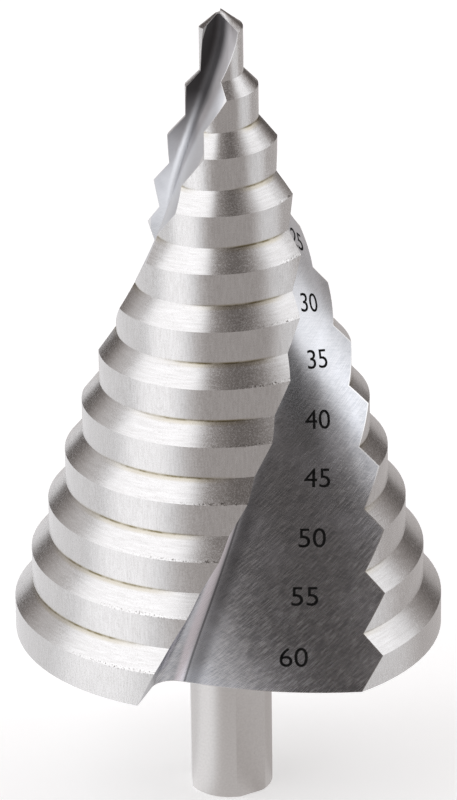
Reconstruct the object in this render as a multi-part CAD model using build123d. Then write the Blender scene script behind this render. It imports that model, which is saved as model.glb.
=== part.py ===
from build123d import *
from math import cos, radians, sin, tan
import os

# A step drill: a stepped cone with two helical flutes on a three-flat shank, turned and ground from one bar.
# Sizes are in millimetres and degrees. The origin is the centre of the shank's end, and +Z runs to the point.
# The photographed side faces -Y. An azimuth is 0 there and grows towards +X, the way the drill cuts.
# A height is measured up from the rim's lower face.

# Steps: each is a straight land, and a sloping shoulder above it leads to the next smaller one
widest_diameter = 60.0
step_growth = 5.0
step_count = 11
rim_height = 4.7
land_height = 4.6
shoulder_height = 2.9

# Pilot drill above the smallest step, and its point
pilot_diameter = 6.0
pilot_length = 6.3
pilot_shoulder_height = 2.1
point_angle = 95.0

# Shank: a round bar with three flats for the jaws of a chuck
shank_diameter = 12.0
shank_length = 25.4
shank_end_radius = 0.3
flat_count = 3
flat_distance = 5.5
flat_azimuth = 32.0

# Flutes: the path of the cutting edge round the stepped cone, with its twist in degrees for each millimetre
flute_count = 2
edge_azimuth = -24.5
rim_twist_rate = 0.93
point_twist_rate = 2.5

# Flutes: the core that is left between them thins faster and faster to the pilot's web
rim_core_radius = 21.0
pilot_web_radius = 0.7
core_end_height = 87.8
core_thinning_power = 1.2

# Flutes: the rest of the ground section at the rim and at the point, with straight tapers in between
rake_angle = 5.5
rim_root_fillet = 3.0
point_root_fillet = 0.6
rim_back_wall_radius = 54.0
point_back_wall_radius = 2.0
back_wall_rise = 1.4
back_wall_turn = 40.0
back_wall_overrun = 6.0
rake_wall_overrun = 4.0
flute_overrun = 1.0
section_spacing = 8.0

# Heights that follow from the steps
pitch = land_height + shoulder_height
pilot_height = rim_height + (step_count - 1) * pitch + pilot_shoulder_height
point_base_height = pilot_height + pilot_length
point_height = point_base_height + pilot_diameter / 2 / tan(radians(point_angle / 2))


def tapered(rim_value, point_value, height):
    """A size that changes evenly from the rim's lower face to the point."""
    return rim_value + (point_value - rim_value) * height / point_height


def core_radius(height):
    """Radius of the core between the flutes."""
    thinned = (max(height, 0) / core_end_height) ** core_thinning_power
    return max(pilot_web_radius, rim_core_radius * (1 - thinned))


def cone_radius(height):
    """Radius of the cone through the outer corners of the steps."""
    return widest_diameter / 2 - step_growth / 2 * (height - rim_height) / pitch


def cutting_edge_azimuth(height):
    """The twist rate grows evenly towards the point, as the drill gets thinner."""
    growth = (point_twist_rate - rim_twist_rate) / point_height
    return edge_azimuth + rim_twist_rate * height + growth * height**2 / 2


def blank_outline():
    """Half outline of the bar after turning, as (radius, height over the shank's end) corners."""
    shank_radius = shank_diameter / 2
    corners = [(0, 0), (shank_radius, 0), (shank_radius, shank_length), (widest_diameter / 2, shank_length)]
    for step in range(step_count):
        radius = (widest_diameter - step * step_growth) / 2
        edge_height = shank_length + rim_height + step * pitch
        corners.append((radius, edge_height))
        if step < step_count - 1:
            corners.append((radius - step_growth / 2, edge_height + shoulder_height))
    corners.append((pilot_diameter / 2, shank_length + pilot_height))
    corners.append((pilot_diameter / 2, shank_length + point_base_height))
    return corners + [(0, shank_length + point_height)]


def turned_blank():
    """The whole drill as it leaves the lathe, with the edge of the shank's end rounded."""
    outline = make_face(Polyline(*blank_outline(), close=True))
    corner = outline.vertices().sort_by_distance((shank_diameter / 2, 0))[0]
    outline = fillet(corner, shank_end_radius)
    return revolve(Plane.XZ * outline, Axis.Z)


def shank_flats():
    """Slabs to mill off the shank, which leave its flats evenly spaced."""
    slab = Box(shank_diameter, shank_diameter, shank_length, align=(Align.MIN, Align.CENTER, Align.MIN))
    turns = [flat_azimuth - 90 + index * 360 / flat_count for index in range(flat_count)]
    return [Rot(0, 0, turn) * Pos(flat_distance, 0, 0) * slab for turn in turns]


def flute_section(height):
    """Section that the grinding leaves at one height: rake wall, root fillet, bowed back wall and its run-out.

    It is drawn with the cutting edge on -Y, then turned to its azimuth.
    """
    core = core_radius(height)
    depth = cone_radius(height) - core
    lean = tan(radians(rake_angle))
    root = Vector(-depth * lean, -core)
    edge = Vector(rake_wall_overrun * lean, -core - depth - rake_wall_overrun)
    start = Vector(cos(radians(back_wall_rise)), -sin(radians(back_wall_rise)))
    bow = tapered(rim_back_wall_radius, point_back_wall_radius, height)
    back_wall = JernArc(root, start, bow, back_wall_turn)
    run_out = Line(back_wall @ 1, back_wall @ 1 + back_wall % 1 * back_wall_overrun)
    outer = Line(run_out @ 1, ((run_out @ 1).X, edge.Y))
    rim = Line(outer @ 1, edge)
    section = make_face(Curve() + [Line(edge, root), back_wall, run_out, outer, rim])
    corner = section.vertices().sort_by_distance(root)[0]
    section = fillet(corner, tapered(rim_root_fillet, point_root_fillet, height))
    return Pos(0, 0, shank_length + height) * Rot(0, 0, cutting_edge_azimuth(height)) * section


def flute_cutter():
    """Solid that the grinding wheel sweeps away along one flute."""
    low = -flute_overrun
    high = point_height + flute_overrun
    count = round((high - low) / section_spacing)
    return loft([flute_section(low + (high - low) * index / count) for index in range(count + 1)])


def step_drill():
    """The finished drill: the turned blank with the flats milled and the flutes ground out of it."""
    drill = turned_blank() - shank_flats()
    cutter = flute_cutter()
    for index in range(flute_count):
        drill -= Rot(0, 0, index * 360 / flute_count) * cutter
    return drill


os.makedirs("parts", exist_ok=True)
drill = step_drill()
drill.label = "step_drill"
export_step(drill, "parts/step_drill.step")
print("step drill", round(drill.volume), "cubic mm,", drill.bounding_box().size)
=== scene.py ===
# %% [markdown]
# # A step drill in satin steel
# A step drill is turned from one bar: a cone of eleven steps on a shank. Two helical flutes are then ground
# into it. The cells below load the finished solid, give its surfaces the marks of the lathe and of the
# grinding wheel, and write the step sizes on the flute, as such drills have them.

import math

import bmesh
import bpy
import numpy as np
from mathutils import Matrix, Quaternion, Vector
from mathutils.bvhtree import BVHTree


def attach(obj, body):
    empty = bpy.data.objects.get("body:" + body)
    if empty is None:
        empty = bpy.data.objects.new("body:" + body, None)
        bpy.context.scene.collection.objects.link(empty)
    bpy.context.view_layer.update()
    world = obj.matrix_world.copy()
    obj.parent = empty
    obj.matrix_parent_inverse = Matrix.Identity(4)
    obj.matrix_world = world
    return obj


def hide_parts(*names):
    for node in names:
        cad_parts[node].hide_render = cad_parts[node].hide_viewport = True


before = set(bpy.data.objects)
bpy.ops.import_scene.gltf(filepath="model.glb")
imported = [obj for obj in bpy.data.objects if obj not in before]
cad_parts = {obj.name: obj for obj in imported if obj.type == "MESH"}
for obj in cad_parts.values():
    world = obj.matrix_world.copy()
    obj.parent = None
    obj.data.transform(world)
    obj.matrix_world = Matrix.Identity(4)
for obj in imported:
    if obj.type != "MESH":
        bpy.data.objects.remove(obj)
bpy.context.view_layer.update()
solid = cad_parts["step_drill"]
print("triangles in the solid:", len(solid.data.polygons))

# %% [markdown]
# ## Sizes of the drill
# The surfaces are told apart by where they lie, so the main sizes of the solid are repeated here, in
# millimetres and degrees. A height is measured up from the lower face of the rim. An azimuth is 0 on the
# photographed side and grows towards +X. The cutting edge winds faster and faster towards the point.

# %% Sizes
MM_PER_M = 1000
SHANK_LENGTH = 25.4
SHANK_RADIUS = 6.0
RIM_RADIUS = 30.0
RIM_HEIGHT = 4.7
STEP_PITCH = 7.5
STEP_IN = 2.5
SHOULDER_HEIGHT = 2.9
LAST_STEP = 10
PILOT_RADIUS = 3.0
PILOT_HEIGHT = 81.8
POINT_BASE_HEIGHT = 88.1
POINT_HEIGHT = 90.85
EDGE_AZIMUTH = -24.5
RIM_TWIST = 0.93
POINT_TWIST = 2.5
TWIST_GROWTH = (POINT_TWIST - RIM_TWIST) / POINT_HEIGHT


def edge_azimuth(height):
    """Azimuth of a cutting edge."""
    return EDGE_AZIMUTH + RIM_TWIST * height + TWIST_GROWTH * height**2 / 2


def turned_outline():
    """(radius, height) corners of the turned cone, from the rim's lower face to the point."""
    corners = [(SHANK_RADIUS, 0), (RIM_RADIUS, 0)]
    for step in range(LAST_STEP + 1):
        radius = RIM_RADIUS - step * STEP_IN
        edge = RIM_HEIGHT + step * STEP_PITCH
        corners.append((radius, edge))
        if step < LAST_STEP:
            corners.append((radius - STEP_IN, edge + SHOULDER_HEIGHT))
    corners += [(PILOT_RADIUS, PILOT_HEIGHT), (PILOT_RADIUS, POINT_BASE_HEIGHT), (0, POINT_HEIGHT)]
    return corners


print("the cutting edge winds", round(edge_azimuth(POINT_HEIGHT) - EDGE_AZIMUTH), "degrees")

# %% [markdown]
# ## The camera
# The camera stands at the photograph's viewing angle, far enough away for its slight perspective. Its lens
# and place come from fitting the rim and the steps. The frame is 457 by 800 pixels. A shift of the lens puts
# the optical axis where the fit found it. A turn of the camera would do that too, but change the perspective.
# The distance and the aim are in metres.

# %% Camera
FRAME_WIDTH = 457
FRAME_HEIGHT = 800
CAMERA_ELEVATION = math.radians(22.3)
CAMERA_ROLL = math.radians(0.75)
CAMERA_DISTANCE = 0.7
PIXELS_PER_MM = 7.25
FOCAL_PIXELS = PIXELS_PER_MM * MM_PER_M * CAMERA_DISTANCE
AIM = Vector((0, 0, 0.0704))
PRINCIPAL_POINT = (224.7, 323.5)

away = Vector((0, -math.cos(CAMERA_ELEVATION), math.sin(CAMERA_ELEVATION)))
level_up = Vector((0, math.sin(CAMERA_ELEVATION), math.cos(CAMERA_ELEVATION)))
level_right = Vector((1, 0, 0))
right = math.cos(CAMERA_ROLL) * level_right - math.sin(CAMERA_ROLL) * level_up
up = math.sin(CAMERA_ROLL) * level_right + math.cos(CAMERA_ROLL) * level_up

camera_data = bpy.data.cameras.new("camera")
camera = bpy.data.objects.new("camera", camera_data)
bpy.context.scene.collection.objects.link(camera)
camera_turn = Matrix((right, up, away)).transposed().to_4x4()
camera.matrix_world = Matrix.Translation(AIM + CAMERA_DISTANCE * away) @ camera_turn
camera_data.sensor_width = 36
camera_data.lens = FOCAL_PIXELS * camera_data.sensor_width / FRAME_HEIGHT
camera_data.shift_x = (FRAME_WIDTH / 2 - PRINCIPAL_POINT[0]) / FRAME_HEIGHT
camera_data.shift_y = (PRINCIPAL_POINT[1] - FRAME_HEIGHT / 2) / FRAME_HEIGHT
camera_data.clip_start = 0.01
camera_data.clip_end = 20
bpy.context.scene.camera = camera
print("lens", round(camera_data.lens, 1), "mm")


def sight_line(x, y):
    """(start, direction) of the camera's line through one pixel of the frame."""
    sideways = (x - PRINCIPAL_POINT[0]) / FOCAL_PIXELS
    upwards = (PRINCIPAL_POINT[1] - y) / FOCAL_PIXELS
    return camera.matrix_world.translation.copy(), (sideways * right + upwards * up - away).normalized()


# %% [markdown]
# ## The studio
# Polished steel shows what stands round it, so a studio for it is made of light and dark. Lamps alone would
# leave steel black with a few hot spots. The world holds large soft boxes on the left and on the right, and
# darker ground between and behind them. Each is a patch in a range of azimuth and elevation with soft
# borders, and a range that touches the azimuth of 180 runs past it, so that no seam shows. The camera itself
# sees plain white. A few helpers come first, because every shader here is worked out with small sums.


# %% Helpers for shaders
def connect(tree, socket, value):
    """Gives a socket a number, a colour or another node's output."""
    if isinstance(value, tuple):
        socket.default_value = (*value, 1)
    elif isinstance(value, (int, float)):
        socket.default_value = value
    else:
        tree.links.new(value, socket)


def math_node(tree, operation, *values):
    """A Math node's output."""
    node = tree.nodes.new("ShaderNodeMath")
    node.operation = operation
    for socket, value in zip(node.inputs, values):
        connect(tree, socket, value)
    return node.outputs[0]


def product(tree, *factors):
    """All factors multiplied, from the first to the last."""
    result = factors[0]
    for factor in factors[1:]:
        result = math_node(tree, "MULTIPLY", result, factor)
    return result


def opposite(tree, mask):
    """1 where the mask is 0, and 0 where it is 1."""
    return math_node(tree, "SUBTRACT", 1, mask)


def between(tree, mask, low, high):
    """Low where the mask is 0, and high where it is 1."""
    return math_node(tree, "MULTIPLY_ADD", mask, high - low, low)


def ramp(tree, value, low, high):
    """A value spread from 0 at low to 1 at high."""
    node = tree.nodes.new("ShaderNodeMapRange")
    tree.links.new(value, node.inputs["Value"])
    node.inputs["From Min"].default_value = low
    node.inputs["From Max"].default_value = high
    return node.outputs["Result"]


def soft_range(tree, value, low, high, softness):
    """1 where the value lies between low and high, and 0 outside, with soft borders."""
    ends = []
    for border, sign in ((low, 1), (high, -1)):
        node = tree.nodes.new("ShaderNodeMapRange")
        node.interpolation_type = "SMOOTHSTEP"
        tree.links.new(value, node.inputs["Value"])
        node.inputs["From Min"].default_value = border - sign * softness
        node.inputs["From Max"].default_value = border + sign * softness
        ends.append(node.outputs["Result"])
    return product(tree, *ends)


# %% Helpers for mixing
MIX_SOCKETS = {"FLOAT": (2, 3, 0), "RGBA": (6, 7, 2)}


def mix(tree, kind, amount, first, second):
    """A Mix node's output. It has a pair of inputs and an output of its own for each kind of value."""
    node = tree.nodes.new("ShaderNodeMix")
    node.data_type = kind
    first_socket, second_socket, result = MIX_SOCKETS[kind]
    connect(tree, node.inputs[0], amount)
    connect(tree, node.inputs[first_socket], first)
    connect(tree, node.inputs[second_socket], second)
    return node.outputs[result]


def mix_shaders(tree, amount, first, second):
    """A Mix Shader's output."""
    node = tree.nodes.new("ShaderNodeMixShader")
    for socket, value in zip(node.inputs, (amount, first, second)):
        tree.links.new(value, socket)
    return node.outputs[0]


def angle_round_axis(tree, x, y):
    """Angle round the drill's axis in radians: 0 on the photographed side, and growing towards +X."""
    return math_node(tree, "ARCTAN2", x, math_node(tree, "MULTIPLY", y, -1))


# %% World
SOFT_BOXES = [
    {"azimuth": (-106, -36), "elevation": (12, 70), "softness": 9, "light": 0.85},
    {"azimuth": (70, 107), "elevation": (30, 70), "softness": 8, "light": 0.65},
    {"azimuth": (79, 118), "elevation": (-4, 30), "softness": 6, "light": 0.9},
]
ROOM_LIGHT = 0.75
DARK_PATCHES = [
    {"azimuth": (-23.5, 66), "elevation": (-30, 34), "softness": 12, "left": 0.15},
    {"azimuth": (56, 83), "elevation": (-30, 15), "softness": 6, "left": 0.06},
    {"azimuth": (-26, 54), "elevation": (34, 78), "softness": 10, "left": 0.42},
    {"azimuth": (-4, 36), "elevation": (34, 78), "softness": 12, "left": 0.58},
    {"azimuth": (106, 140), "elevation": (4, 33), "softness": 8, "left": 0.72},
    {"azimuth": (-112, -62), "elevation": (-12, 8), "softness": 5, "left": 0.2},
    {"azimuth": (-200, -132), "elevation": (-20, 50), "softness": 14, "left": 0.2},
    {"azimuth": (132, 200), "elevation": (-20, 50), "softness": 12, "left": 0.2},
]
DARK_TINT = (1.0, 0.87, 0.81)
LIGHT_TINT = (0.985, 0.98, 1.0)
WHITE = (1.0, 1.0, 1.0)

world = bpy.data.worlds.new("studio")
bpy.context.scene.world = world
world.use_nodes = True
tree = world.node_tree
tree.nodes.clear()
parts = tree.nodes.new("ShaderNodeSeparateXYZ")
tree.links.new(tree.nodes.new("ShaderNodeTexCoord").outputs["Generated"], parts.inputs[0])
azimuth = math_node(tree, "DEGREES", angle_round_axis(tree, parts.outputs["X"], parts.outputs["Y"]))
elevation = math_node(tree, "DEGREES", math_node(tree, "ARCSINE", parts.outputs["Z"]))


def in_patch(patch):
    """1 inside a patch of the world, and 0 outside."""
    across = soft_range(tree, azimuth, *patch["azimuth"], patch["softness"])
    upright = soft_range(tree, elevation, *patch["elevation"], patch["softness"])
    return product(tree, across, upright)


light = ROOM_LIGHT
for patch in SOFT_BOXES:
    light = math_node(tree, "ADD", product(tree, in_patch(patch), patch["light"]), light)
for patch in DARK_PATCHES:
    light = product(tree, light, between(tree, in_patch(patch), 1, patch["left"]))
background = tree.nodes.new("ShaderNodeBackground")
connect(tree, background.inputs["Color"], mix(tree, "RGBA", light, DARK_TINT, LIGHT_TINT))
connect(tree, background.inputs["Strength"], light)
white = tree.nodes.new("ShaderNodeBackground")
connect(tree, white.inputs["Color"], WHITE)
seen = tree.nodes.new("ShaderNodeLightPath").outputs["Is Camera Ray"]
mixed = mix_shaders(tree, seen, background.outputs[0], white.outputs[0])
connect(tree, tree.nodes.new("ShaderNodeOutputWorld").inputs["Surface"], mixed)
bpy.context.scene.view_settings.view_transform = "Standard"
print("soft boxes:", len(SOFT_BOXES), "dark patches:", len(DARK_PATCHES))

# %% [markdown]
# ## The floor
# The floor is plain and white. The camera sees it a little brighter than it is, so that it comes out white,
# and it keeps the drill's soft shadow. The steel mirrors it by a light of its own, because an even white
# floor would wash out the dark sides of the lands. That light is brighter on the left, and dimmer in front
# and behind. These patches fade towards the shank, and there the right-hand side is dimmer instead.

# %% Floor
FLOOR_SIZE = 8.0
FLOOR_COLOUR = (0.86, 0.86, 0.86)
FLOOR_GLOW = 0.46
FLOOR_MIRRORED = 0.95
FLOOR_PATCHES = [
    {"azimuth": (-84, -42), "left": 1.5},
    {"azimuth": (97, 200), "left": 0.62},
    {"azimuth": (-200, -164), "left": 0.62},
    {"azimuth": (-29, 54), "left": 0.52},
]
FLOOR_SOFTNESS = 13
FLOOR_NEAR = 0.05
FLOOR_FAR = 0.09
NEAR_SHARE = 0.45
NEAR_SHADE = {"azimuth": (40, 170), "left": 0.55}

half = FLOOR_SIZE / 2
floor_corners = [(-half, -half, 0), (half, -half, 0), (half, half, 0), (-half, half, 0)]
floor_mesh = bpy.data.meshes.new("floor")
floor_mesh.from_pydata(floor_corners, [], [(0, 1, 2, 3)])
floor = bpy.data.objects.new("floor", floor_mesh)
bpy.context.scene.collection.objects.link(floor)
print("floor", FLOOR_SIZE, "m wide")

# %% Floor paint
floor_paint = bpy.data.materials.new("floor_paint")
floor_paint.use_nodes = True
floor_mesh.materials.append(floor_paint)
tree = floor_paint.node_tree
paint = tree.nodes["Principled BSDF"]
connect(tree, paint.inputs["Base Color"], FLOOR_COLOUR)
paint.inputs["Roughness"].default_value = 0.9
paint.inputs["Specular IOR Level"].default_value = 0.1
connect(tree, paint.inputs["Emission Color"], WHITE)
path = tree.nodes.new("ShaderNodeLightPath")
connect(tree, paint.inputs["Emission Strength"], product(tree, path.outputs["Is Camera Ray"], FLOOR_GLOW))

point = tree.nodes.new("ShaderNodeTexCoord").outputs["Object"]
parts = tree.nodes.new("ShaderNodeSeparateXYZ")
tree.links.new(point, parts.inputs[0])
azimuth = math_node(tree, "DEGREES", angle_round_axis(tree, parts.outputs["X"], parts.outputs["Y"]))
distance = tree.nodes.new("ShaderNodeVectorMath")
distance.operation = "LENGTH"
tree.links.new(point, distance.inputs[0])
reach = between(tree, ramp(tree, distance.outputs["Value"], FLOOR_NEAR, FLOOR_FAR), NEAR_SHARE, 1)
light = FLOOR_MIRRORED
for patch in FLOOR_PATCHES:
    within = product(tree, soft_range(tree, azimuth, *patch["azimuth"], FLOOR_SOFTNESS), reach)
    light = product(tree, between(tree, within, 1, patch["left"]), light)
within = soft_range(tree, azimuth, *NEAR_SHADE["azimuth"], FLOOR_SOFTNESS)
within = product(tree, within, opposite(tree, reach))
light = product(tree, between(tree, within, 1, NEAR_SHADE["left"]), light)
mirrored = tree.nodes.new("ShaderNodeEmission")
connect(tree, mirrored.inputs["Color"], mix(tree, "RGBA", light, DARK_TINT, LIGHT_TINT))
connect(tree, mirrored.inputs["Strength"], light)
mixed = mix_shaders(tree, path.outputs["Is Glossy Ray"], paint.outputs[0], mirrored.outputs[0])
connect(tree, tree.nodes["Material Output"].inputs["Surface"], mixed)
print("patches on the floor:", len(FLOOR_PATCHES) + 1)

# %% [markdown]
# ## The drill's mesh
# The solid comes as loose triangles. A copy of it is merged into one skin. On the real drill each shoulder
# falls away behind its cutting edge, by about a millimetre from the edge to the heel of the land, so that
# only the edge cuts. The copy is sheared by that much along the axis: up at the cutting edge, down at the
# heel. A shear of the finished mesh is simpler than a new solid, and it leaves the box as it was.

# %% Mesh
MERGE_DISTANCE = 2e-6
RELIEF_DROP = 1.0
HALF_TURN = 180
FLUTE_SPAN = 62.0
LAND_SPAN = HALF_TURN - FLUTE_SPAN

skin = solid.data.copy()
skin.name = "drill"
builder = bmesh.new()
builder.from_mesh(skin)
bmesh.ops.remove_doubles(builder, verts=builder.verts, dist=MERGE_DISTANCE)
builder.to_mesh(skin)
builder.free()
if "custom_normal" in skin.attributes:
    skin.attributes.remove(skin.attributes["custom_normal"])
print("merged to", len(skin.vertices), "vertices")

# %% Relief
places = np.zeros(len(skin.vertices) * 3)
skin.vertices.foreach_get("co", places)
places = places.reshape(-1, 3) * MM_PER_M
heights = places[:, 2] - SHANK_LENGTH
radii = np.hypot(places[:, 0], places[:, 1])
azimuths = np.degrees(np.arctan2(places[:, 0], -places[:, 1]))
ahead = np.mod(azimuths - edge_azimuth(heights), HALF_TURN)
in_flute = 0.5 - ahead / FLUTE_SPAN
on_land = -0.5 + (ahead - FLUTE_SPAN) / LAND_SPAN
shear = np.where(ahead < FLUTE_SPAN, in_flute, on_land)
fade = np.clip(heights / RIM_HEIGHT, 0, 1) * np.clip(radii / PILOT_RADIUS, 0, 1)
sheared = places.copy()
sheared[:, 2] += RELIEF_DROP * shear * fade * (heights > 0)
skin.vertices.foreach_set("co", (sheared / MM_PER_M).ravel())
print("largest shear:", round(np.abs(sheared - places).max(), 2), "mm")

# %% [markdown]
# ## Which surface is which
# The finish differs from surface to surface: the lathe made the lands and shoulders, a grinding wheel made
# the flutes, and the shank was ground round and milled flat. Each triangle is sorted by its place: a turned
# one lies on the turned outline and doesn't face sideways round the axis, and the rest of the cone is flute.
# Each vertex keeps its height over the rim and its depth under the outline as attributes, because the
# finish follows them.

# %% Surfaces
ON_OUTLINE = 0.06
FACES_SIDEWAYS = 0.28
RIM_TOLERANCE = 0.01
SHANK_TOLERANCE = 0.05
SHARP_ANGLE = math.radians(24)
TINY = 1e-12
TURNED, FLUTE, SHANK = 0, 1, 2


def distance_to_outline(radius, height):
    """Distance of points from the turned outline, in millimetres."""
    corners = turned_outline()
    nearest = np.full(radius.shape, np.inf)
    for (r0, h0), (r1, h1) in zip(corners, corners[1:]):
        wide, tall = r1 - r0, h1 - h0
        along = np.clip(((radius - r0) * wide + (height - h0) * tall) / (wide**2 + tall**2), 0, 1)
        nearest = np.minimum(nearest, np.hypot(radius - r0 - along * wide, height - h0 - along * tall))
    return nearest


corners = np.zeros(len(skin.polygons) * 3, int)
skin.polygons.foreach_get("vertices", corners)
corners = corners.reshape(-1, 3)
triangles = places[corners]
facing = np.cross(triangles[:, 1] - triangles[:, 0], triangles[:, 2] - triangles[:, 0])
facing /= np.maximum(np.linalg.norm(facing, axis=1), TINY)[:, None]
middles = triangles.mean(axis=1)
around = np.column_stack([-middles[:, 1], middles[:, 0]])
around /= np.maximum(np.linalg.norm(around, axis=1), TINY)[:, None]
sideways = np.abs((facing[:, :2] * around).sum(axis=1))
depths = distance_to_outline(radii, heights)
on_outline = depths[corners].max(axis=1) < ON_OUTLINE
below_rim = heights[corners].max(axis=1) < RIM_TOLERANCE
near_axis = radii[corners].max(axis=1) < SHANK_RADIUS + SHANK_TOLERANCE
kinds = np.where(on_outline & (sideways < FACES_SIDEWAYS), TURNED, FLUTE)
kinds = np.where(below_rim & near_axis, SHANK, kinds)
for name, values in (("height", heights), ("depth", depths)):
    attribute = skin.attributes.new(name, "FLOAT", "POINT")
    attribute.data.foreach_set("value", values.astype(np.float32))
skin.polygons.foreach_set("use_smooth", np.ones(len(skin.polygons), bool))
skin.update()
skin.set_sharp_from_angle(angle=SHARP_ANGLE)
print("attributes:", [a.name for a in skin.attributes])
print("turned, flute and shank triangles:", [(kinds == kind).sum() for kind in (TURNED, FLUTE, SHANK)])

# %% [markdown]
# ## Marks of the tools
# Turned and ground steel is covered in fine parallel marks. One node group makes them for every surface: it
# takes a place on the surface in millimetres, stretches noise along one direction, and puts out a value
# around one half. Noise needs no picture and has no seams, and each material sets its own stretch: the
# number of marks in a millimetre, across and along their run.


# %% Fine marks
def add_socket(group, name, kind, way, value=None):
    """A named input or output of a node group."""
    socket = group.interface.new_socket(name=name, in_out=way, socket_type=kind)
    if value is not None:
        socket.default_value = value


marks = bpy.data.node_groups.new("fine_marks", "ShaderNodeTree")
add_socket(marks, "Place", "NodeSocketVector", "INPUT")
add_socket(marks, "Across", "NodeSocketFloat", "INPUT", 3.0)
add_socket(marks, "Along", "NodeSocketFloat", "INPUT", 0.1)
add_socket(marks, "Marks", "NodeSocketFloat", "OUTPUT")
inside = marks.nodes.new("NodeGroupInput")
outside = marks.nodes.new("NodeGroupOutput")
stretch = marks.nodes.new("ShaderNodeCombineXYZ")
marks.links.new(inside.outputs["Across"], stretch.inputs["X"])
marks.links.new(inside.outputs["Along"], stretch.inputs["Y"])
marks.links.new(inside.outputs["Across"], stretch.inputs["Z"])
scaled = marks.nodes.new("ShaderNodeVectorMath")
scaled.operation = "MULTIPLY"
marks.links.new(inside.outputs["Place"], scaled.inputs[0])
marks.links.new(stretch.outputs[0], scaled.inputs[1])
noise = marks.nodes.new("ShaderNodeTexNoise")
noise.inputs["Scale"].default_value = 1.0
noise.inputs["Detail"].default_value = 3.0
noise.inputs["Roughness"].default_value = 0.6
marks.links.new(scaled.outputs[0], noise.inputs["Vector"])
marks.links.new(noise.outputs["Fac"], outside.inputs["Marks"])
print("node group", marks.name)

# %% [markdown]
# ## Round-the-axis coordinates
# Lathe marks run round the axis, so they need a place measured round it. This group turns a point into
# millimetres round the axis, height and radius. Its height is the mesh's own attribute, so that the marks
# follow the sheared shoulders. There are two flutes, so a point belongs to the edge of its own half turn, the
# middle of which is 50 degrees in front of that edge. Lag is the sine of the angle to the edge, without its
# sign, and Ahead is how far the point lies in front of it, in millimetres.

# %% Round the axis
FLUTE_MIDDLE = math.radians(50)

roundabout = bpy.data.node_groups.new("round_the_axis", "ShaderNodeTree")
add_socket(roundabout, "Place", "NodeSocketVector", "OUTPUT")
add_socket(roundabout, "Height", "NodeSocketFloat", "OUTPUT")
add_socket(roundabout, "Lag", "NodeSocketFloat", "OUTPUT")
add_socket(roundabout, "Ahead", "NodeSocketFloat", "OUTPUT")
outside = roundabout.nodes.new("NodeGroupOutput")
parts = roundabout.nodes.new("ShaderNodeSeparateXYZ")
roundabout.links.new(roundabout.nodes.new("ShaderNodeTexCoord").outputs["Object"], parts.inputs[0])
flat_x, flat_y = parts.outputs["X"], parts.outputs["Y"]
height = roundabout.nodes.new("ShaderNodeAttribute")
height.attribute_name = "height"
height = height.outputs["Fac"]
squares = product(roundabout, flat_x, flat_x)
squares = math_node(roundabout, "ADD", squares, product(roundabout, flat_y, flat_y))
radius = product(roundabout, math_node(roundabout, "SQRT", squares), MM_PER_M)
angle = angle_round_axis(roundabout, flat_x, flat_y)
combined = roundabout.nodes.new("ShaderNodeCombineXYZ")
roundabout.links.new(product(roundabout, angle, radius), combined.inputs["X"])
roundabout.links.new(height, combined.inputs["Y"])
roundabout.links.new(radius, combined.inputs["Z"])
winding = math_node(roundabout, "MULTIPLY_ADD", height, TWIST_GROWTH / 2, RIM_TWIST)
winding = math_node(roundabout, "MULTIPLY_ADD", winding, height, EDGE_AZIMUTH)
lag = math_node(roundabout, "SUBTRACT", math_node(roundabout, "RADIANS", winding), angle)
from_middle = math_node(roundabout, "COSINE", math_node(roundabout, "ADD", lag, FLUTE_MIDDLE))
lag_sine = product(roundabout, math_node(roundabout, "SINE", lag), math_node(roundabout, "SIGN", from_middle))
roundabout.links.new(combined.outputs[0], outside.inputs["Place"])
roundabout.links.new(height, outside.inputs["Height"])
roundabout.links.new(math_node(roundabout, "ABSOLUTE", lag_sine), outside.inputs["Lag"])
roundabout.links.new(product(roundabout, lag_sine, radius, -1), outside.inputs["Ahead"])
print("node group", roundabout.name)

# %% [markdown]
# ## The finishes
# Lands, flutes and shank are the same grey steel, each with its own gloss and marks. The fine grooves of
# turning smear the gloss of a land or of the shank along the axis, which is what anisotropy does. All three
# start from one metal shader. Colours are then laid over each other through masks.


# %% Steel
QUARTER_TURN = 0.25


def steel(name, colour, roughness, anisotropy=0.0):
    """A new metal material, its shader and its node tree.

    Its colour and roughness hold until nodes take their place. Anisotropy smears its gloss along the axis.
    """
    material = bpy.data.materials.new(name)
    material.use_nodes = True
    shader = material.node_tree.nodes["Principled BSDF"]
    shader.inputs["Metallic"].default_value = 1.0
    shader.inputs["Base Color"].default_value = (*colour, 1)
    shader.inputs["Roughness"].default_value = roughness
    shader.inputs["Anisotropic"].default_value = anisotropy
    shader.inputs["Anisotropic Rotation"].default_value = QUARTER_TURN
    return material, shader, material.node_tree


def group_outputs(tree, group):
    """The outputs of a node group placed in a material."""
    node = tree.nodes.new("ShaderNodeGroup")
    node.node_tree = group
    return node.outputs


def marks_at(tree, place, across, along):
    """Fine marks at a place, with their number in a millimetre across and along their run."""
    node = tree.nodes.new("ShaderNodeGroup")
    node.node_tree = marks
    node.inputs["Across"].default_value = across
    node.inputs["Along"].default_value = along
    tree.links.new(place, node.inputs["Place"])
    return node.outputs["Marks"]


def lay_over(tree, colour, coat, *masks):
    """A colour with a coat over it where all masks are 1. A mask may be a number."""
    return mix(tree, "RGBA", product(tree, *masks), colour, coat)


def bump(tree, shader, height, strength, distance):
    """Raises the surface by a height value."""
    node = tree.nodes.new("ShaderNodeBump")
    node.inputs["Strength"].default_value = strength
    node.inputs["Distance"].default_value = distance
    tree.links.new(height, node.inputs["Height"])
    tree.links.new(node.outputs["Normal"], shader.inputs["Normal"])


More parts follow.
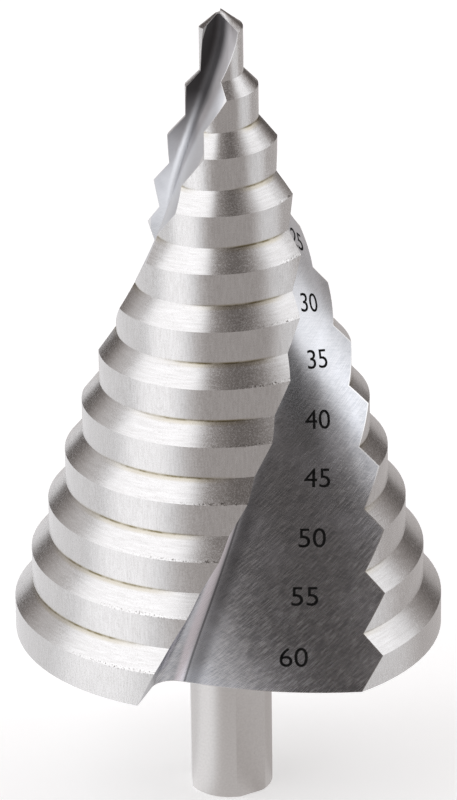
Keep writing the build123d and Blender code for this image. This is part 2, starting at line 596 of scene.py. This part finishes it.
# %% [markdown]
# ## Turned steel
# The lands have a satin grain with faint streaks along the axis, and the shoulders have rings round it. Each
# inner corner keeps a broken brown stain with a paler halo. Near the cutting edge, each outer corner has
# bright specks and dark pits. All of them follow one phase, the height over a step's outer corner, so that
# one shader serves all eleven steps.

# %% Turned steel: grain
TURNED_COLOUR = (0.70, 0.695, 0.69)
TURNED_DARK = (0.53, 0.52, 0.51)
TURNED_ANISOTROPY = 0.65
GRAIN_SHARE = 0.6
TONE_SPREAD = (0.34, 0.62)
BELOW_CORNER = 1.0
STEPS_TOP = PILOT_HEIGHT - 2
STEPS_SOFTNESS = 0.2
SHOULDER_SOFTNESS = 0.1

turned_steel, shader, tree = steel("turned_steel", TURNED_COLOUR, 0.25, TURNED_ANISOTROPY)
axis = group_outputs(tree, roundabout)
grain = marks_at(tree, axis["Place"], across=4.2, along=3.6)
streaks = marks_at(tree, axis["Place"], across=4.5, along=0.5)
rings = marks_at(tree, axis["Place"], across=0.35, along=4.5)
phase = math_node(tree, "SUBTRACT", axis["Height"], RIM_HEIGHT)
phase = math_node(tree, "WRAP", phase, STEP_PITCH - BELOW_CORNER, -BELOW_CORNER)
on_steps = soft_range(tree, axis["Height"], RIM_HEIGHT - BELOW_CORNER, STEPS_TOP, STEPS_SOFTNESS)
on_shoulder = product(tree, soft_range(tree, phase, 0, SHOULDER_HEIGHT, SHOULDER_SOFTNESS), on_steps)
lines = mix(tree, "FLOAT", on_shoulder, streaks, rings)
tone = math_node(tree, "MULTIPLY_ADD", lines, 1 - GRAIN_SHARE, product(tree, grain, GRAIN_SHARE))
colour = mix(tree, "RGBA", ramp(tree, tone, *TONE_SPREAD), TURNED_DARK, TURNED_COLOUR)
print("grain and streaks in", len(tree.nodes), "nodes")

# %% Turned steel: stains
CORNER_COLOUR = (0.14, 0.11, 0.04)
HALO_COLOUR = (0.42, 0.36, 0.22)
HALO_STRENGTH = 0.45
STAIN_STRENGTH = (0.38, 0.88)
PATCH_SPREAD = (0.42, 0.58)
STAIN_LAG = {"low": 0.22, "high": 0.86, "softness": 0.14}
INNER_CORNER = {"low": SHOULDER_HEIGHT - 0.1, "high": SHOULDER_HEIGHT + 0.14, "softness": 0.1}
ROUND_CORNER = {"low": SHOULDER_HEIGHT - 0.45, "high": SHOULDER_HEIGHT + 0.2, "softness": 0.2}

patches = marks_at(tree, axis["Place"], across=0.45, along=0.6)
behind = soft_range(tree, axis["Lag"], **STAIN_LAG)
halo = product(tree, soft_range(tree, phase, **ROUND_CORNER), on_steps)
inner = product(tree, soft_range(tree, phase, **INNER_CORNER), on_steps)
broken = between(tree, ramp(tree, patches, *PATCH_SPREAD), *STAIN_STRENGTH)
colour = lay_over(tree, colour, HALO_COLOUR, halo, behind, HALO_STRENGTH)
colour = lay_over(tree, colour, CORNER_COLOUR, inner, behind, broken)
print("stains in", len(tree.nodes), "nodes")

# %% Turned steel: specks and gloss
SPARK_COLOUR = (0.95, 0.95, 0.94)
PIT_COLOUR = (0.12, 0.11, 0.10)
EDGE_LAG = (0.25, 0.5)
OUTER_CORNER = {"low": -0.05, "high": 0.3, "softness": 0.15}
SPARK_SPREAD = (0.57, 0.64)
PIT_SPREAD = (0.36, 0.43)
SPECK_SPREAD = (0.46, 0.66)
TURNED_ROUGHNESS = (0.19, 0.33)

near_edge = opposite(tree, ramp(tree, axis["Lag"], *EDGE_LAG))
outer = product(tree, soft_range(tree, phase, **OUTER_CORNER), on_steps, near_edge)
colour = lay_over(tree, colour, SPARK_COLOUR, outer, ramp(tree, grain, *SPARK_SPREAD))
colour = lay_over(tree, colour, PIT_COLOUR, outer, opposite(tree, ramp(tree, grain, *PIT_SPREAD)))
connect(tree, shader.inputs["Base Color"], colour)
specks = ramp(tree, grain, *SPECK_SPREAD)
connect(tree, shader.inputs["Roughness"], between(tree, specks, *TURNED_ROUGHNESS))
bump(tree, shader, tone, strength=0.25, distance=0.00002)
print("turned steel with", len(tree.nodes), "nodes")

# %% [markdown]
# ## Flute steel
# The wheel leaves the flutes darker and covers them in short scratches that cross in two directions. Paler
# clouds lie over the broad wall, and the deepest scratches show near the rim. Higher up, the steel is
# smoother. At the root, the rake wall ends in a painted highlight band, standing in for the fillet's
# reflection, then a dark line where the fillet meets the wall, partly a ground step and partly painted dark
# reflection, and painted shade behind it. The line moves with the height, so its place is a slope. Towards
# the point the root gets painted shade, and the hollow beside the web painted shade that is nearly black. A
# painted highlight lines the edges where the flute meets the turned outline. All of these are masks over one
# colour, because the flute is one smooth surface with no seams for separate materials.

# %% Flute steel: scratches
FLUTE_COLOUR = (0.65, 0.66, 0.685)
FLUTE_DARK = (0.39, 0.41, 0.44)
SCRATCHES = [
    {"turn": math.radians(38), "across": 6.5, "along": 0.5, "share": 0.6},
    {"turn": math.radians(-24), "across": 5.0, "along": 0.7, "share": 0.4},
]
SCRATCH_SPREAD = (0.38, 0.6)


def turned_place(tree, turn):
    """The place on the surface in millimetres, turned about Y, with its height first."""
    mapping = tree.nodes.new("ShaderNodeMapping")
    mapping.inputs["Rotation"].default_value = (0, turn, 0)
    mapping.inputs["Scale"].default_value = (MM_PER_M, MM_PER_M, MM_PER_M)
    tree.links.new(tree.nodes.new("ShaderNodeTexCoord").outputs["Object"], mapping.inputs["Vector"])
    parts = tree.nodes.new("ShaderNodeSeparateXYZ")
    tree.links.new(mapping.outputs[0], parts.inputs[0])
    swapped = tree.nodes.new("ShaderNodeCombineXYZ")
    tree.links.new(parts.outputs["Z"], swapped.inputs["X"])
    tree.links.new(parts.outputs["X"], swapped.inputs["Y"])
    return swapped.outputs[0]


flute_steel, shader, tree = steel("flute_steel", FLUTE_COLOUR, 0.26)
layers = []
for layer in SCRATCHES:
    layers.append(marks_at(tree, turned_place(tree, layer["turn"]), layer["across"], layer["along"]))
scratches = product(tree, layers[1], SCRATCHES[1]["share"])
scratches = math_node(tree, "MULTIPLY_ADD", layers[0], SCRATCHES[0]["share"], scratches)
colour = mix(tree, "RGBA", ramp(tree, scratches, *SCRATCH_SPREAD), FLUTE_DARK, FLUTE_COLOUR)
print("scratches in", len(tree.nodes), "nodes")

# %% Flute steel: clouds and deep scratches
CLOUD_COLOUR = (0.80, 0.83, 0.90)
CLOUD_SPREAD = (0.46, 0.66)
CLOUD_STRENGTH = 0.6
SMOOTH_COLOUR = (0.58, 0.59, 0.605)
SMOOTH_HEIGHTS = (22, 46)
SMOOTH_STRENGTH = 0.6
SATIN_HEIGHTS = (50, 66)
SATIN_STRENGTH = 0.7
DEEP_COLOUR = (0.85, 0.86, 0.88)
DEEP_SPREAD = (0.48, 0.68)
DEEP_HEIGHTS = (14, 34)
DEEP_STRENGTH = 0.4

axis = group_outputs(tree, roundabout)
clouds = marks_at(tree, axis["Place"], across=0.11, along=0.11)
colour = lay_over(tree, colour, CLOUD_COLOUR, ramp(tree, clouds, *CLOUD_SPREAD), CLOUD_STRENGTH)
smooth = ramp(tree, axis["Height"], *SMOOTH_HEIGHTS)
colour = lay_over(tree, colour, SMOOTH_COLOUR, smooth, SMOOTH_STRENGTH)
satin = ramp(tree, axis["Height"], *SATIN_HEIGHTS)
colour = lay_over(tree, colour, FLUTE_COLOUR, satin, SATIN_STRENGTH)
low_down = opposite(tree, ramp(tree, axis["Height"], *DEEP_HEIGHTS))
deep = product(tree, ramp(tree, layers[0], *DEEP_SPREAD), low_down)
colour = lay_over(tree, colour, DEEP_COLOUR, deep, DEEP_STRENGTH)
print("clouds and deep scratches in", len(tree.nodes), "nodes")

# %% Flute steel: painted highlight and shade at the root
LINE_AHEAD = 2.68
LINE_SLOPE = -0.063
# Dark colour of the line, and of the painted shade behind the line.
LINE_AND_SHADE_COLOUR = (0.16, 0.16, 0.17)
# Painted highlight: the fillet's reflection, laid on as a light band.
HIGHLIGHT_BAND_COLOUR = (0.92, 0.89, 0.95)
LINE_HEIGHTS = (22, 34)
# In order: the painted highlight band, the painted shade behind the line, and the dark line, partly a ground
# step and partly painted dark reflection.
ROOT_HIGHLIGHT_AND_SHADE_MARKS = [
    {"colour": HIGHLIGHT_BAND_COLOUR, "reach": (-1.4, -0.22), "softness": 0.35, "strength": 1},
    {"colour": LINE_AND_SHADE_COLOUR, "reach": (0, 2.2), "softness": 0.9, "strength": 0.68},
    {"colour": LINE_AND_SHADE_COLOUR, "reach": (-0.12, 0.16), "softness": 0.08, "strength": 0.85},
]
# Painted shade over the root towards the point, darkening a bright reflection there.
ROOT_SHADE_COLOUR = (0.34, 0.315, 0.315)
ROOT_SHADE_REACH = {"low": 0.7, "high": 3.2, "softness": 0.6}
ROOT_SHADE_HEIGHTS = (36, 50)
ROOT_SHADE_STRENGTH = 0.6
# Painted shade, nearly black, in the hollow beside the web near the point.
HOLLOW_SHADE_COLOUR = (0.14, 0.135, 0.14)
HOLLOW_HEIGHTS = (71, 79)
HOLLOW_REACH = (1.0, 2.0)

line_ahead = math_node(tree, "MULTIPLY_ADD", axis["Height"], LINE_SLOPE, LINE_AHEAD)
past_line = math_node(tree, "SUBTRACT", axis["Ahead"], line_ahead)
near_rim = opposite(tree, ramp(tree, axis["Height"], *LINE_HEIGHTS))
# Lays the painted highlight, the painted shade and the dark line over the flute's colour.
for mark in ROOT_HIGHLIGHT_AND_SHADE_MARKS:
    within = soft_range(tree, past_line, *mark["reach"], mark["softness"])
    colour = lay_over(tree, colour, mark["colour"], within, near_rim, mark["strength"])
# Painted shade at the root, growing with the height.
root_shade = soft_range(tree, axis["Ahead"], **ROOT_SHADE_REACH)
high_up = ramp(tree, axis["Height"], *ROOT_SHADE_HEIGHTS)
colour = lay_over(tree, colour, ROOT_SHADE_COLOUR, root_shade, high_up, ROOT_SHADE_STRENGTH)
# Painted shade in the hollow near the point, which also gets a rougher gloss below.
near_point = ramp(tree, axis["Height"], *HOLLOW_HEIGHTS)
hollow_shade = product(tree, near_point, opposite(tree, ramp(tree, axis["Ahead"], *HOLLOW_REACH)))
colour = lay_over(tree, colour, HOLLOW_SHADE_COLOUR, hollow_shade)
print("marks at the root:", len(ROOT_HIGHLIGHT_AND_SHADE_MARKS) + 2)

# %% Flute steel: painted edge highlight and gloss
# Painted highlight along the edges where the flute meets the turned outline.
EDGE_HIGHLIGHT_COLOUR = (0.72, 0.72, 0.72)
EDGE_HIGHLIGHT_WIDTH = 0.09
FLUTE_ROUGHNESS = (0.17, 0.31)
SATIN_ROUGHNESS = 0.1
DEEP_ROUGHNESS = 0.1
HOLLOW_ROUGHNESS = 0.35

# The painted edge highlight lies within this depth under the turned outline.
depth = tree.nodes.new("ShaderNodeAttribute")
depth.attribute_name = "depth"
edge_highlight = math_node(tree, "LESS_THAN", depth.outputs["Fac"], EDGE_HIGHLIGHT_WIDTH)
colour = lay_over(tree, colour, EDGE_HIGHLIGHT_COLOUR, edge_highlight)
connect(tree, shader.inputs["Base Color"], colour)
gloss = between(tree, scratches, *FLUTE_ROUGHNESS)
for mask, added in ((satin, SATIN_ROUGHNESS), (deep, DEEP_ROUGHNESS), (hollow_shade, HOLLOW_ROUGHNESS)):
    gloss = math_node(tree, "MULTIPLY_ADD", mask, added, gloss)
connect(tree, shader.inputs["Roughness"], gloss)
bump(tree, shader, scratches, strength=0.15, distance=0.00001)
print("flute steel with", len(tree.nodes), "nodes")

# %% [markdown]
# ## Shank steel
# The shank is ground for the jaws of the chuck, and it shows no marks that run one way. A faint even grain
# is enough for it, with the same smeared gloss as the lands.

# %% Shank steel
SHANK_COLOUR = (0.66, 0.645, 0.63)
SHANK_DARK = (0.60, 0.585, 0.57)
SHANK_SPREAD = (0.35, 0.65)
SHANK_ROUGHNESS = (0.25, 0.35)

shank_steel, shader, tree = steel("shank_steel", SHANK_COLOUR, 0.3, TURNED_ANISOTROPY)
grain = marks_at(tree, group_outputs(tree, roundabout)["Place"], across=3.0, along=3.0)
colour = mix(tree, "RGBA", ramp(tree, grain, *SHANK_SPREAD), SHANK_DARK, SHANK_COLOUR)
connect(tree, shader.inputs["Base Color"], colour)
connect(tree, shader.inputs["Roughness"], between(tree, grain, *SHANK_ROUGHNESS))
bump(tree, shader, grain, strength=0.15, distance=0.00001)
print("shank steel with", len(tree.nodes), "nodes")

# %% [markdown]
# ## Dressing the drill
# The skin takes the three steels, each triangle by its kind, and replaces the plain solid. It stays one
# piece, because the real drill is ground from one bar.

# %% Dress the drill
skin.materials.clear()
for material in (turned_steel, flute_steel, shank_steel):
    skin.materials.append(material)
skin.polygons.foreach_set("material_index", kinds.astype(np.int32))
drill = bpy.data.objects.new("drill", skin)
bpy.context.scene.collection.objects.link(drill)
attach(drill, "root")
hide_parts("step_drill")
print("dressed", drill.name)

# %% [markdown]
# ## The numbers on the flute
# The diameter of each step is marked on the wide wall of the flute, beside its step. A Geometry Nodes tree
# turns each number into a flat outline, which is then laid on the wall, a hair above the steel. A mark drawn
# by a shader would need the shape of every digit in sums, and a cut would be too fine for the mesh.

# %% Number maker
DIGIT_HEIGHT = 3.75

number_maker = bpy.data.node_groups.new("number_maker", "GeometryNodeTree")
add_socket(number_maker, "Number", "NodeSocketInt", "INPUT", 60)
add_socket(number_maker, "Digit Height", "NodeSocketFloat", "INPUT", DIGIT_HEIGHT)
add_socket(number_maker, "Ink", "NodeSocketMaterial", "INPUT")
add_socket(number_maker, "Geometry", "NodeSocketGeometry", "OUTPUT")
inside = number_maker.nodes.new("NodeGroupInput")
outside = number_maker.nodes.new("NodeGroupOutput")
words = number_maker.nodes.new("FunctionNodeValueToString")
letters = number_maker.nodes.new("GeometryNodeStringToCurves")
letters.align_x = "CENTER"
letters.align_y = "MIDDLE"
fill = number_maker.nodes.new("GeometryNodeFillCurve")
finer = number_maker.nodes.new("GeometryNodeSubdivideMesh")
real = number_maker.nodes.new("GeometryNodeRealizeInstances")
coat = number_maker.nodes.new("GeometryNodeSetMaterial")
words.data_type = "INT"
number_maker.links.new(inside.outputs["Number"], words.inputs[0])
number_maker.links.new(words.outputs[0], letters.inputs["String"])
number_maker.links.new(inside.outputs["Digit Height"], letters.inputs["Size"])
number_maker.links.new(letters.outputs["Curve Instances"], fill.inputs["Curve"])
number_maker.links.new(fill.outputs["Mesh"], real.inputs["Geometry"])
number_maker.links.new(real.outputs["Geometry"], finer.inputs["Mesh"])
number_maker.links.new(finer.outputs["Mesh"], coat.inputs["Geometry"])
number_maker.links.new(inside.outputs["Ink"], coat.inputs["Material"])
number_maker.links.new(coat.outputs["Geometry"], outside.inputs["Geometry"])
keys = {item.name: item.identifier for item in number_maker.interface.items_tree if item.in_out == "INPUT"}
print("number maker with", len(number_maker.nodes), "nodes")

# %% Ink
INK_COLOUR = (0.004, 0.004, 0.004)
INK_PALE = (0.02, 0.02, 0.02)
INK_GRAIN = 2500
INK_SPREAD = (0.35, 0.75)

ink, shader, tree = steel("number_ink", INK_COLOUR, 0.7)
shader.inputs["Metallic"].default_value = 0.0
shader.inputs["Specular IOR Level"].default_value = 0.06
grain = tree.nodes.new("ShaderNodeTexNoise")
grain.inputs["Scale"].default_value = INK_GRAIN
tree.links.new(tree.nodes.new("ShaderNodeTexCoord").outputs["Object"], grain.inputs["Vector"])
colour = mix(tree, "RGBA", ramp(tree, grain.outputs["Fac"], *INK_SPREAD), INK_COLOUR, INK_PALE)
connect(tree, shader.inputs["Base Color"], colour)
print("ink:", ink.name)

# %% [markdown]
# ## Laying the numbers
# Each number is placed by the pixel of the photograph where its middle lies. The camera's line through that
# pixel meets the wall, and the number lies flat there, upright to the camera, and leans by a few degrees
# where the real one does. Each of its points is then dropped onto the wall, because the wall is bowed.

# %% Lay the numbers on the wall
NUMBER_PLACES = {
    60: {"pixel": (293.5, 658.5), "lean": 0},
    55: {"pixel": (305, 597.5), "lean": 0},
    50: {"pixel": (312, 539), "lean": 0},
    45: {"pixel": (318, 479), "lean": 0},
    40: {"pixel": (318, 420.5), "lean": 2},
    35: {"pixel": (317.5, 360), "lean": 8},
    30: {"pixel": (309, 303.5), "lean": 14},
    25: {"pixel": (297, 240.5), "lean": 18},
}
DIGIT_STRETCH = 1.12
NUMBER_LIFT = 0.00002
DROP_START = 0.003


def number_mesh(number):
    """A number as a flat mesh around its middle, made by the number maker."""
    holder = bpy.data.objects.new("holder", bpy.data.meshes.new("holder"))
    bpy.context.scene.collection.objects.link(holder)
    modifier = holder.modifiers.new("number", "NODES")
    modifier.node_group = number_maker
    modifier[keys["Number"]] = number
    modifier[keys["Digit Height"]] = DIGIT_HEIGHT / MM_PER_M
    modifier[keys["Ink"]] = ink
    bpy.context.view_layer.update()
    flat = bpy.data.meshes.new_from_object(holder.evaluated_get(bpy.context.evaluated_depsgraph_get()))
    bpy.data.objects.remove(holder)
    return flat


wall = BVHTree.FromPolygons([v.co for v in skin.vertices], [tuple(p.vertices) for p in skin.polygons])
builder = bmesh.new()
for number, spot_on_wall in NUMBER_PLACES.items():
    spot, facing_out, _, _ = wall.ray_cast(*sight_line(*spot_on_wall["pixel"]))
    top = facing_out.cross(right).normalized()
    top.rotate(Quaternion(facing_out, math.radians(spot_on_wall["lean"])))
    side = top.cross(facing_out)
    laid = Matrix((DIGIT_STRETCH * side, top, facing_out)).transposed().to_4x4()
    flat = number_mesh(number)
    flat.transform(Matrix.Translation(spot) @ laid)
    for vertex in flat.vertices:
        hit, _, _, _ = wall.ray_cast(vertex.co + DROP_START * facing_out, -facing_out)
        vertex.co = (hit if hit else vertex.co) + NUMBER_LIFT * facing_out
    builder.from_mesh(flat)
    print(number, "at", [round(MM_PER_M * value, 1) for value in spot], "mm")
numbers_mesh = bpy.data.meshes.new("numbers")
builder.to_mesh(numbers_mesh)
builder.free()
numbers_mesh.materials.append(ink)
numbers = bpy.data.objects.new("numbers", numbers_mesh)
bpy.context.scene.collection.objects.link(numbers)
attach(numbers, "root")
print("numbers:", len(numbers_mesh.polygons), "faces")
